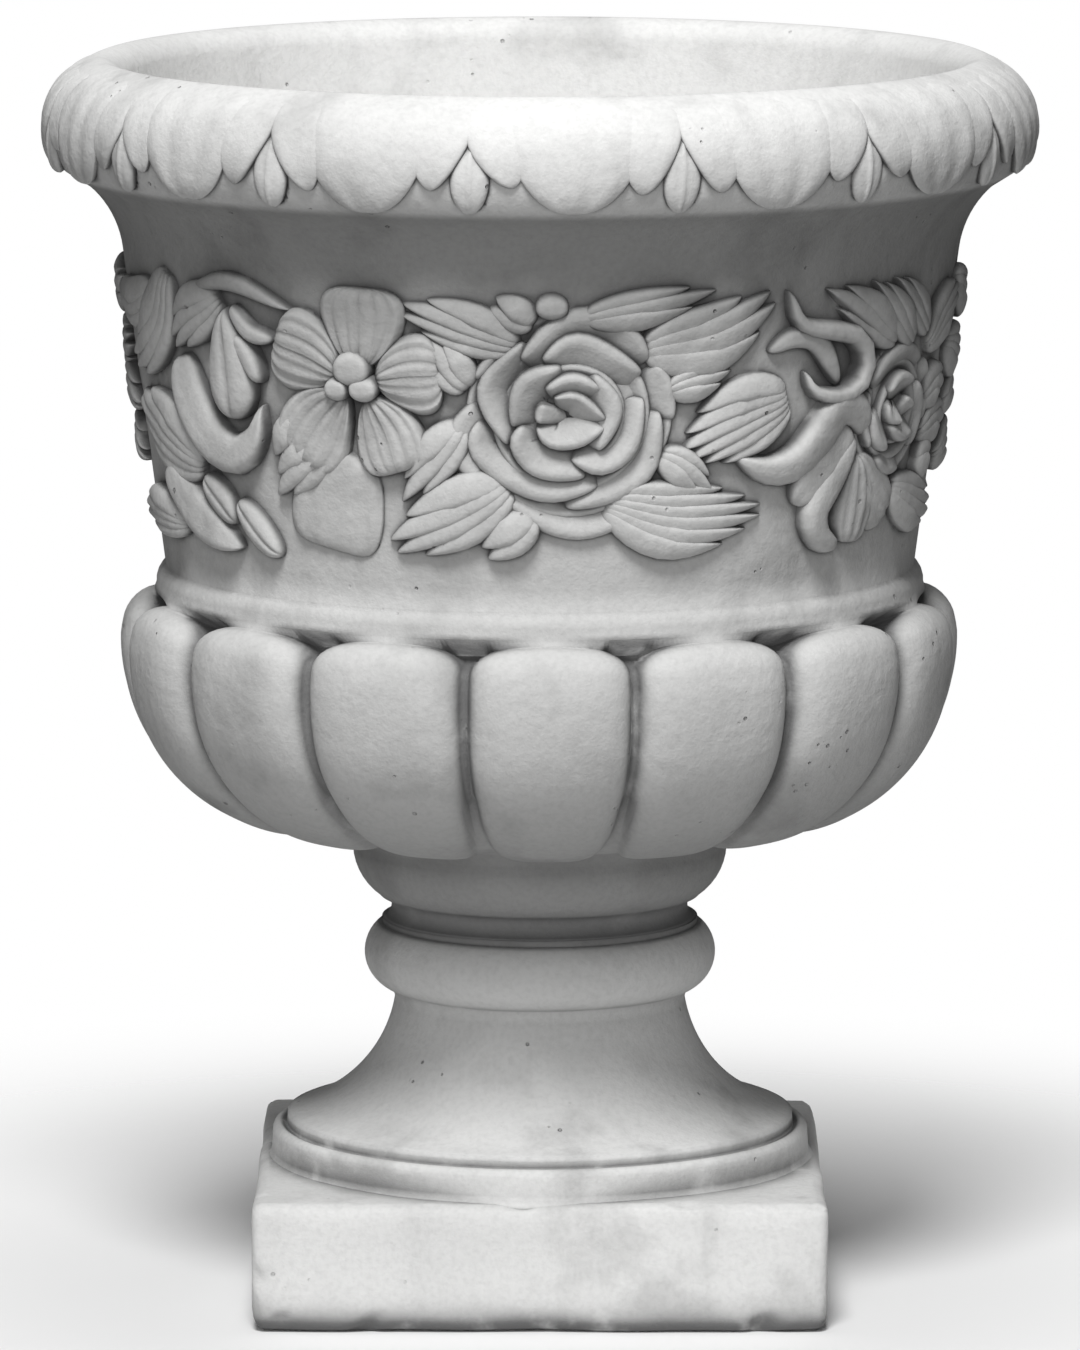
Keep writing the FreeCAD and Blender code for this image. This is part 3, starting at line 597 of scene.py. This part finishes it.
def along_curve(corners, share):
    """Places at shares of the length of a smooth curve through corners, and the
    directions to its left there."""
    corners = np.array(corners, float)
    if len(corners) == 2:
        corners = np.array((corners[0], corners.mean(axis=0), corners[1]))
    ends = (2 * corners[0] - corners[1], 2 * corners[-1] - corners[-2])
    knots = np.vstack((ends[0], corners, ends[1]))
    line = []
    for a, b, c, d in zip(knots, knots[1:], knots[2:], knots[3:]):
        for t in np.linspace(0, 1, 24, endpoint=False):
            line.append(0.5 * (2 * b + (c - a) * t + (2 * a - 5 * b + 4 * c - d) * t ** 2
                               + (3 * b - a - 3 * c + d) * t ** 3))
    line = np.array(line + [corners[-1]])
    way = np.gradient(line, axis=0)
    length = np.concatenate(([0], np.cumsum(np.linalg.norm(np.diff(line, axis=0), axis=1))))
    length /= length[-1]
    place = np.stack([np.interp(share, length, line[:, i]) for i in (0, 1)], axis=1)
    way = np.stack([np.interp(share, length, way[:, i]) for i in (0, 1)], axis=1)
    way /= np.linalg.norm(way, axis=1)[:, None]
    return place, np.stack((-way[:, 1], way[:, 0]), axis=1)


def petal(sheet, curve, width, lift=(1.0, 1.0), rise=3.0, ends=(0.5, 0.5), tilt=0.0,
          hollow=0.0, ribs=0, rib_depth=0.8, midrib=0.0, centre=None, shell=False,
          segments=32, rings=20):
    """One closed petal or leaf laid on a sheet along a curve, all in millimetres.

    lift is the height of its foot along the curve, rise its thickness, ends how blunt
    or pointed it starts and stops, tilt how much its outer edge is turned up and hollow
    how much its middle is pressed in. A shell is high at the edge away from centre and
    dives under the next petal at the other.
    """
    bpy.ops.mesh.primitive_uv_sphere_add(segments=segments, ring_count=rings)
    piece = bpy.context.object
    ball = read_points(piece) * MM
    share = np.clip(0.5 - 0.5 * ball[:, 2], 0, 1)
    turn = (np.arctan2(ball[:, 1], ball[:, 0]) / FULL_TURN) % 1
    on_top = turn <= TOP_SHARE
    side = np.where(on_top, np.cos(math.pi * turn / TOP_SHARE),
                    -np.cos(math.pi * (turn - TOP_SHARE) / (1 - TOP_SHARE)))
    place, left = along_curve(curve, share)
    if centre is not None and np.sum((place - centre) * left) < 0:
        left = -left
    start, stop = ends
    peak = start / (start + stop)
    body = (share ** start * (1 - share) ** stop) / (peak ** start * (1 - peak) ** stop)
    offset = side * body * width / 2
    edge = np.clip(1 - np.abs(side) ** 3, 0, 1) ** 0.5
    if shell:
        offset = np.where(side < 0, offset * SHELL_REACH, offset)
        edge = np.where(side < 0, 1 - SHELL_DIVE * np.abs(side), edge)
    tips = np.clip(1 - np.abs(2 * share - 1) ** 7, 0, 1) ** 0.5
    spread = np.minimum(1, body * 1.6)
    form = rise + tilt * side - hollow * (1 - side ** 2)
    if ribs:
        form -= rib_depth * spread * (0.5 + 0.5 * np.cos(math.pi * (ribs * (side + 1))))
    form -= midrib * spread * np.exp(-(side / MIDRIB_WIDTH) ** 2)
    low = np.interp(share, np.linspace(0, 1, len(lift)), lift)
    out = np.where(on_top, low + form * edge * tips, UNDERSIDE)
    write_points(piece, sheet(place[:, 0] + left[:, 0] * offset,
                              place[:, 1] + left[:, 1] * offset, out))
    return piece


def joined(name, pieces):
    """One object of many petals."""
    bpy.ops.object.select_all(action="DESELECT")
    for piece in pieces:
        piece.select_set(True)
    bpy.context.view_layer.objects.active = pieces[0]
    bpy.ops.object.join()
    whole = bpy.context.object
    whole.name = name
    smooth_outside(whole)
    return whole


rng = np.random.default_rng(11)
leaf_pitch = LOBE_PITCH * RIM_REACH
leaves = []
for leaf in range(LOBE_COUNT):
    middle = leaf * leaf_pitch + rng.uniform(-1.5, 1.5)
    tip = -17 + rng.uniform(-0.8, 1.2)
    grown = rng.uniform(0.94, 1.08)
    leaves.append(petal(on_rim, [(middle + rng.uniform(-3, 3), 34), (middle, 8), (middle, tip)],
                        58 * grown, tilt=rng.uniform(-0.4, 0.4), **TONGUE))
    for hand in (-1, 1):
        side_tip = -8 + rng.uniform(-2, 2)
        leaves.append(petal(on_rim, [(middle + hand * 37, 31), (middle + hand * 29, 10),
                                     (middle + hand * (24 + rng.uniform(-1, 2)), side_tip)],
                            24 * grown, centre=(middle, 0), **SIDE_LOBE))
    between = (leaf + 0.5) * leaf_pitch
    leaves.append(petal(on_rim, [(between + 1, 20), (between, 2), (between - 1, -17.4)],
                        16, **SMALL_LEAF))
rim_leaves = joined("rim_leaves_relief", leaves)
write_points(rim_leaves, hand_made(read_points(rim_leaves), size=20, depth=0.16, seed=6))
finished(rim_leaves, "rim_leaves")


# ---- Large roses.
# Full roses of lapping shell petals round a low dome, pressed from a mould and cast with
# the wall. The photo shows one. The back of the band repeats the front, for every flower.
WALL_FOOT = (151.7, 295.4)
BAND_REACH = 165.0
HALF_ROUND = math.pi * BAND_REACH

# An inner ring's share of the rose's radius, and the angle at which it starts.
INNER_RINGS = ((0.93, 0.4), (0.69, 2.6), (0.45, 4.4))
OUTER_FLARE = 1.25


def on_wall(across, up, out):
    """A place on the tapered wall: across is a length round it from the front, up a
    height on the urn and out the height above the wall."""
    radius = WALL_FOOT[0] + (up - WALL_FOOT[1]) * WALL_LEAN + out
    angle = across / BAND_REACH
    return np.stack((radius * np.sin(angle), -radius * np.cos(angle), up - out * WALL_LEAN),
                    axis=1)


def both_sides(name, rows, node, seed):
    """Petals from rows of (curve, width, options), with the same again on the back."""
    pieces = []
    for shift in (0, HALF_ROUND):
        for curve, width, options in rows:
            moved = [(across + shift, up) for across, up in curve]
            options = dict(options)
            if "centre" in options:
                options["centre"] = (options["centre"][0] + shift, options["centre"][1])
            pieces.append(petal(on_wall, moved, width, **options))
    whole = joined(name, pieces)
    write_points(whole, hand_made(read_points(whole), size=20, depth=0.2, seed=seed))
    finished(whole, node)


def rose_lift(curve, centre, spread, top):
    """Foot heights of a rose petal: the nearer the middle, the higher."""
    gap = [math.dist(corner, centre) / spread for corner in curve]
    return tuple(np.interp(gap, (0.15, 0.45, 0.7, 1.0), (top, top * 0.8, top * 0.5, 0.4)))


def rose(centre, spread, top, dome, petals):
    """Rows of a rose: a low dome, three rings round it and shells round those."""
    rows = [([(centre[0] - dome, centre[1]), (centre[0] + dome, centre[1])], dome * 2,
             {"lift": (0, 0), "rise": top * 0.45})]
    for share, turn in INNER_RINGS:
        ring = [(centre[0] + spread * share * math.cos(turn + step * FULL_TURN / 12),
                 centre[1] + spread * share * math.sin(turn + step * FULL_TURN / 12))
                for step in range(13)]
        rows.append((ring, 5, {"centre": centre, "shell": True, "rise": 2.8,
                               "lift": (top * (0.8 - 0.85 * share),) * 2,
                               "ends": (0.06, 0.06), "segments": 24, "rings": 60}))
    for curve, width in petals:
        rows.append((curve, width * OUTER_FLARE,
                     {"centre": centre, "shell": True, "rise": 3.6, "ends": (0.38, 0.38),
                      "lift": rose_lift(curve, centre, spread, top)}))
    return rows


both_sides("large_rose_relief", rose((12, 375), 42, 7.0, 30, [
    ([(-7, 397), (10, 412), (30, 410), (42, 396)], 8),
    ([(44, 395), (49, 386), (52, 372)], 6),
    ([(-6, 404), (-21, 385), (-12, 364)], 6),
    ([(-14, 403), (-25, 389)], 5),
    ([(-25, 380), (-33, 362), (-17, 341)], 8),
    ([(-15, 343), (0, 333), (15, 329), (30, 332), (38, 339)], 7),
    ([(10, 339), (30, 345), (43, 355), (46, 376)], 8),
    ([(1, 397), (15, 404), (39, 391)], 7),
    ([(-23, 373), (-25, 362), (-15, 352), (3, 345), (23, 348)], 8),
    ([(12, 359), (24, 355), (35, 363), (39, 382)], 6),
    ([(8, 395), (-6, 388), (-10, 371)], 6),
    ([(-6, 372), (-8, 364), (0, 355), (18, 352)], 7),
    ([(20, 392), (28, 378), (22, 362)], 6),
    ([(-1, 372), (4, 366), (14, 366), (25, 372)], 5),
    ([(2, 386), (12, 390), (23, 386)], 5),
    ([(2, 381), (0, 373)], 5),
    ([(5, 383), (14, 383), (25, 374)], 4)]), "large_roses", 21)


# ---- Small roses.
# The same flower at two thirds of the size, right of the large one and cast with the wall
# as well, with fewer petals.
both_sides("small_rose_relief", rose((168, 368), 27, 5.5, 19, [
    ([(149, 380), (160, 389), (175, 391), (190, 385)], 7),
    ([(194, 386), (199, 373), (196, 359)], 5),
    ([(148, 377), (147, 366), (152, 354)], 5),
    ([(157, 350), (166, 345), (178, 344)], 6),
    ([(150, 369), (155, 358), (163, 353)], 6),
    ([(181, 378), (190, 365), (185, 351)], 6),
    ([(160, 363), (170, 358), (181, 359)], 5),
    ([(158, 376), (166, 381), (177, 379)], 5),
    ([(157, 372), (160, 366), (168, 364)], 4),
    ([(168, 373), (176, 369)], 4)]), "small_roses", 22)


# ---- Blossoms.
# Open flowers of five ribbed petals round a boss of three beads, cast with the wall left
# of the large rose.
BLOOM = {"ribs": 6, "rib_depth": 1.8, "rise": 4.8, "lift": (2.6, 2.0, 2.6),
         "ends": (0.62, 0.28)}
BEAD = {"rise": 5.0, "lift": (4.6, 4.6)}

both_sides("blossom_relief", [
    ([(-71, 392), (-70, 405), (-69, 424)], 36, BLOOM),
    ([(-79, 389), (-92, 395), (-109, 401)], 34, BLOOM),
    ([(-78, 382), (-90, 370), (-101, 354)], 35, BLOOM),
    ([(-68, 381), (-62, 368), (-57, 351)], 31, BLOOM),
    ([(-65, 388), (-52, 390), (-38, 391)], 33, BLOOM),
    ([(-81, 392), (-66, 392)], 15, BEAD),
    ([(-85, 384), (-75, 384)], 10, BEAD),
    ([(-75, 384), (-63, 385)], 11, BEAD)], "blossoms", 23)


# ---- Lilies.
# Drooping flowers with long folded petals and hooked stalks, cast with the wall left of
# the small rose and under it.
FOLD = {"rise": 6.0, "lift": (1.0, 2.0, 1.0)}
LILY_FAN = {"ribs": 4, "ends": (0.6, 0.35)}

both_sides("lily_relief", [
    ([(146, 352), (158, 336), (173, 326)], 26, dict(LILY_FAN, rise=4.0)),
    ([(145, 352), (148, 336), (146, 316)], 26, dict(LILY_FAN, rise=4.4)),
    ([(137, 366), (124, 350), (111, 335)], 25, dict(FOLD, hollow=1.2, ends=(0.35, 0.5))),
    ([(142, 360), (131, 345), (122, 332), (126, 321), (138, 316)], 15, FOLD),
    ([(80, 356), (95, 350), (110, 352), (122, 362), (131, 372), (141, 370), (149, 360)], 19,
     dict(FOLD, ends=(0.7, 0.45), tilt=1.0)),
    ([(93, 397), (105, 402), (117, 399), (130, 381)], 10, dict(FOLD, rise=3.5)),
    ([(100, 421), (106, 408), (120, 404), (135, 401), (143, 391), (140, 381), (129, 377),
      (116, 380), (111, 388)], 9, dict(FOLD, rise=6.5))], "lilies", 24)


# ---- Curled leaves.
# Hooked and rolled leaves at the far left of the band, thicker than the plain ones and
# cast with the wall.
both_sides("curled_leaf_relief", [
    ([(-168, 390), (-162, 371), (-151, 358), (-136, 353), (-124, 361), (-119, 374)], 22,
     {"rise": 7.0, "tilt": 1.2, "ends": (0.3, 0.7), "centre": (-140, 385), "hollow": 1.2}),
    ([(-134, 412), (-134, 392), (-134, 367)], 25,
     {"rise": 6.5, "ends": (0.8, 0.45), "midrib": 1.2, "lift": (1, 2, 2)}),
    ([(-130, 402), (-124, 394), (-118, 383)], 10, {"rise": 6.0}),
    ([(-192, 344), (-178, 333), (-162, 323), (-139, 315)], 21,
     {"rise": 6.0, "tilt": -1.0, "ends": (0.5, 0.7), "hollow": 0.8}),
    ([(-160, 342), (-152, 335), (-141, 325)], 15, {"rise": 4.5, "midrib": 0.8}),
    ([(-139, 334), (-126, 321), (-116, 314)], 14, {"rise": 4.5, "midrib": 0.8}),
    ([(-131, 413), (-122, 403), (-109, 401)], 8, {"rise": 5.0})], "curled_leaves", 25)


# ---- Leaf sprays.
# Plain leaves, buds and stalks that fill the band between the flowers, cast with the wall.
# A leaf is a fan of tapering strokes, as a modelling tool leaves them in clay.
FAN = 0.42
PLAIN = {"segments": 24, "rings": 16}
FRONDS = [
    ([(26, 340), (55, 332), (97, 334)], 32, 6), ([(48, 359), (60, 351), (72, 342)], 14, 3),
    ([(-12, 347), (-36, 334), (-64, 320)], 27, 4), ([(-2, 334), (-13, 326), (-26, 318)], 13, 2),
    ([(-30, 371), (-44, 355), (-57, 339)], 17, 3), ([(-8, 402), (-30, 410), (-56, 417)], 20, 4),
    ([(-2, 411), (-20, 421)], 11, 2), ([(-28, 385), (-36, 396), (-44, 406)], 16, 3),
    ([(16, 413), (42, 417), (69, 423)], 14, 3), ([(40, 400), (68, 404), (96, 420)], 27, 4),
    ([(50, 384), (63, 387), (77, 391)], 13, 3), ([(104, 378), (82, 371), (57, 357)], 34, 6),
    ([(165, 396), (143, 409), (120, 420)], 17, 3), ([(178, 394), (163, 408), (147, 421)], 15, 3),
    ([(190, 397), (177, 410), (162, 421)], 14, 3), ([(194, 390), (212, 404), (234, 411)], 20, 4),
    ([(196, 369), (208, 374), (221, 371)], 17, 3), ([(196, 355), (215, 359), (236, 356)], 16, 3),
    ([(196, 345), (206, 344), (216, 344)], 13, 2), ([(174, 336), (200, 326), (232, 322)], 22, 4),
    ([(224, 389), (248, 383), (274, 387)], 22, 4), ([(230, 341), (252, 346), (278, 340)], 20, 4),
    ([(234, 363), (256, 367), (286, 363)], 18, 3), ([(230, 414), (252, 406), (278, 413)], 18, 3),
    ([(-88, 360), (-102, 351), (-116, 338)], 19, 3),
    ([(-100, 370), (-107, 361), (-115, 350)], 13, 2),
    ([(-138, 415), (-157, 406), (-175, 393)], 23, 4),
    ([(-160, 346), (-192, 358), (-222, 368)], 32, 5),
    ([(-174, 422), (-183, 404), (-200, 390), (-225, 381)], 26, 4),
    ([(-188, 413), (-212, 406), (-240, 413)], 18, 3),
    ([(-181, 320), (-212, 323), (-244, 321)], 19, 4)]


def frond(curve, width, strokes):
    """Rows of a leaf made of tapering strokes that fan out from its base and end at
    different lengths, each lapping over the next."""
    rows = []
    share = np.linspace(0, 1, 9)
    for stroke in range(strokes):
        side = (stroke + 0.5) / strokes * 2 - 1
        far = 1 - 0.36 * abs(side) ** 1.6
        place, left = along_curve(curve, share * far)
        spread = side * width * FAN * np.sin(math.pi * np.minimum(share * 0.62 + 0.1, 0.5))
        line = place + left * spread[:, None]
        rows.append(([tuple(point) for point in line], width / strokes * 2.0,
                     {"rise": 3.4, "lift": (2.0 - abs(side), 2.4 - side * 0.8, 0.6),
                      "ends": (0.5, 0.8), "tilt": 0.9, "segments": 18, "rings": 14}))
    return rows


leaf_rows = [row for curve, width, strokes in FRONDS for row in frond(curve, width, strokes)]
leaf_rows += [
    ([(-77, 357), (-86, 338), (-90, 318)], 44,
     dict(PLAIN, rise=3.4, ends=(0.3, 0.16), ribs=4, rib_depth=1.0, tilt=-0.8)),
    ([(-2, 418), (11, 418)], 11, dict(PLAIN, rise=6.0)),
    ([(-152, 419), (-130, 422), (-100, 413)], 8, dict(PLAIN, rise=4.5, ends=(0.5, 0.8)))]
both_sides("leaf_relief", leaf_rows, "leaf_sprays", 26)
